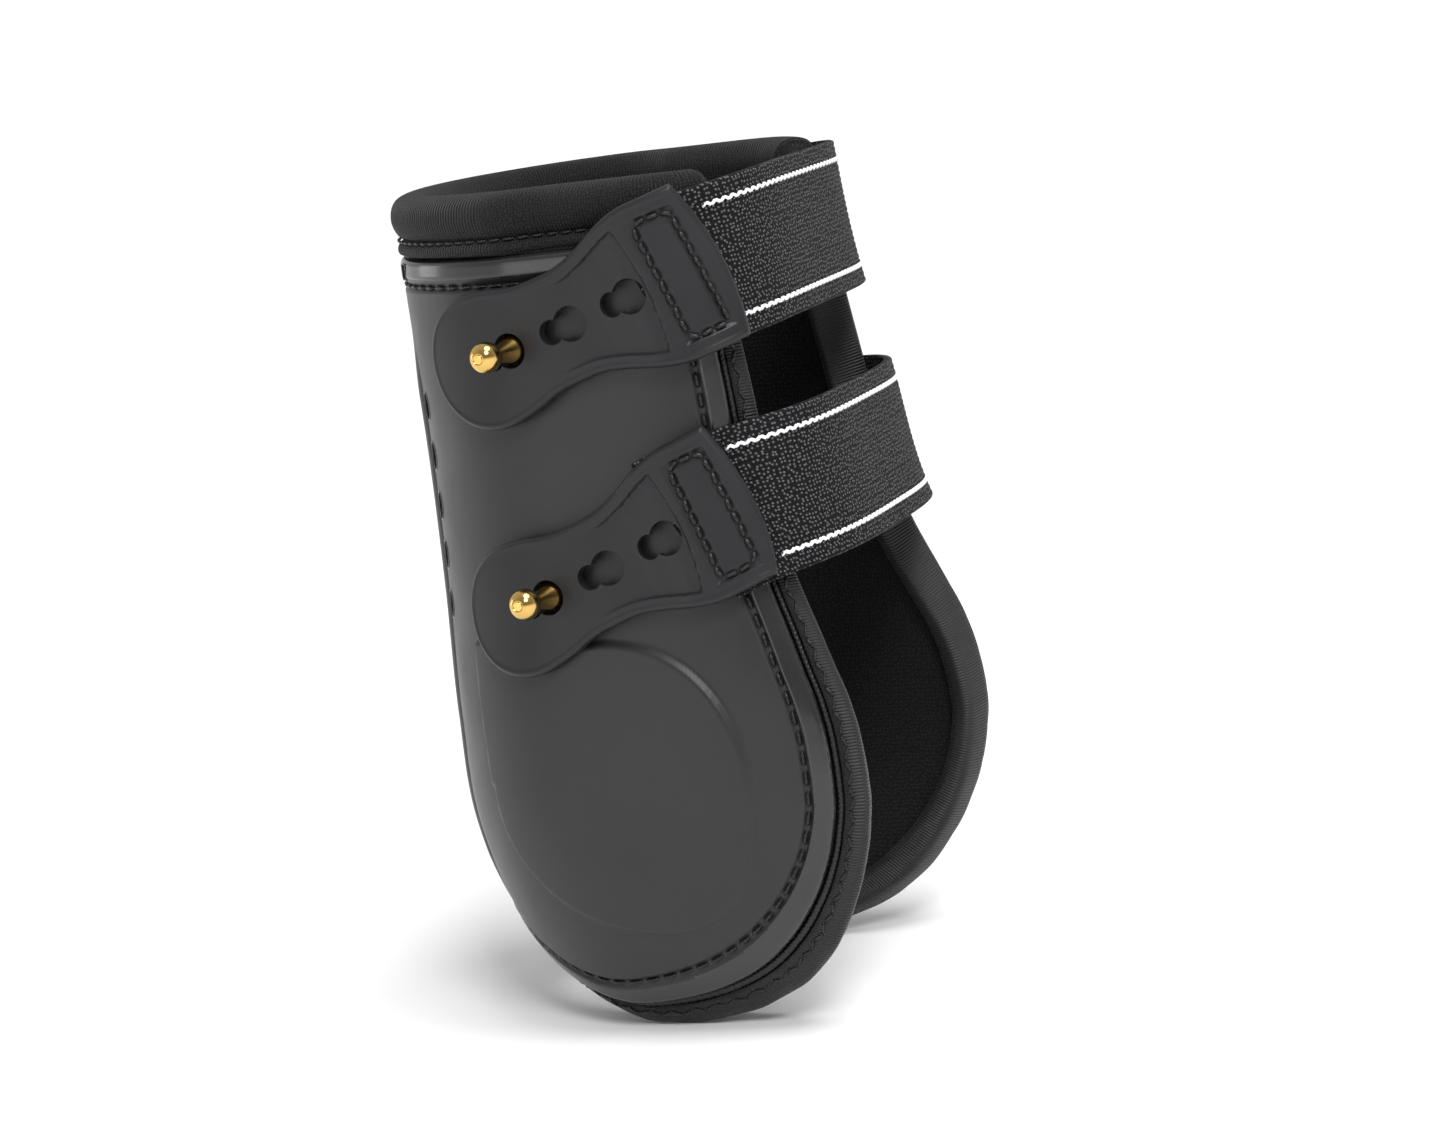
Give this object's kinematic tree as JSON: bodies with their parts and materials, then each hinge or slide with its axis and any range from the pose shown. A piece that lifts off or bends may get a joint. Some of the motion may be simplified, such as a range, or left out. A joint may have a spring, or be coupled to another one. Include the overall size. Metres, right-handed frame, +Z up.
{
  "type": "open-front fetlock boot",
  "caption": "Moulded open-front fetlock boot for a horse's hind leg, with a padded lining and elastic straps that hook on brass ball studs.",
  "frame": {"origin": "on the leg's axis at the widest level of the fetlock, inside the boot", "axes": "+X to the horse's front, +Z up the leg, -Y to the outer side of a right leg, where the studs are"},
  "size_m": [0.1005, 0.1045, 0.1716],
  "materials": {
    "shell_tpu": "soft matte",
    "tab_rubber": "satin",
    "neoprene": "ribbed knit over foam",
    "knit_fabric": "fine knit",
    "binding_tape": "ribbed tape",
    "thread": "twisted thread",
    "elastic_webbing": "coarse woven elastic with two white stripes",
    "polished_brass": "polished",
    "zinc_steel": "zinc plated"
  },
  "bodies": {
    "boot": {"outer_shell": "shell_tpu", "lining_pad": "neoprene", "lining_fabric": "knit_fabric", "collar_roll": "neoprene", "edge_binding": "binding_tape", "edge_piping": "binding_tape", "shell_stitching": "thread", "binding_stitching": "thread", "collar_stitching": "thread", "upper_stud": "polished_brass", "upper_stud_washer": "zinc_steel", "upper_stud_screw": "zinc_steel", "upper_strap_anchor_end": "elastic_webbing", "upper_anchor_patch": "tab_rubber", "upper_anchor_stitching": "thread", "lower_stud": "polished_brass", "lower_stud_washer": "zinc_steel", "lower_stud_screw": "zinc_steel", "lower_strap_anchor_end": "elastic_webbing", "lower_anchor_patch": "tab_rubber", "lower_anchor_stitching": "thread"},
    "upper_strap": {"upper_strap": "elastic_webbing"},
    "upper_tab": {"upper_tab": "tab_rubber", "upper_tab_stitching": "thread", "upper_strap_tab_end": "elastic_webbing"},
    "lower_strap": {"lower_strap": "elastic_webbing"},
    "lower_tab": {"lower_tab": "tab_rubber", "lower_tab_stitching": "thread", "lower_strap_tab_end": "elastic_webbing"}
  },
  "joints": [
    {"name": "upper_strap_swing", "type": "hinge", "parent": "boot", "child": "upper_strap", "pos_m": [0.03036, 0.03823, 0.10849], "axis": [-0.1674, 0.0473, 0.9847], "range_deg": [0, 80]},
    {"name": "upper_tab_peel", "type": "hinge", "parent": "upper_strap", "child": "upper_tab", "pos_m": [0.03535, -0.03457, 0.108], "axis": [-0.196, -0.116, 0.9737], "range_deg": [0, 70], "deforming": ["upper_tab"]},
    {"name": "lower_strap_swing", "type": "hinge", "parent": "boot", "child": "lower_strap", "pos_m": [0.02992, 0.04126, 0.06212], "axis": [-0.2801, -0.0091, 0.9599], "range_deg": [0, 80]},
    {"name": "lower_tab_peel", "type": "hinge", "parent": "lower_strap", "child": "lower_tab", "pos_m": [0.03659, -0.03906, 0.06159], "axis": [-0.3277, -0.0616, 0.9428], "range_deg": [0, 70], "deforming": ["lower_tab"]}
  ]
}
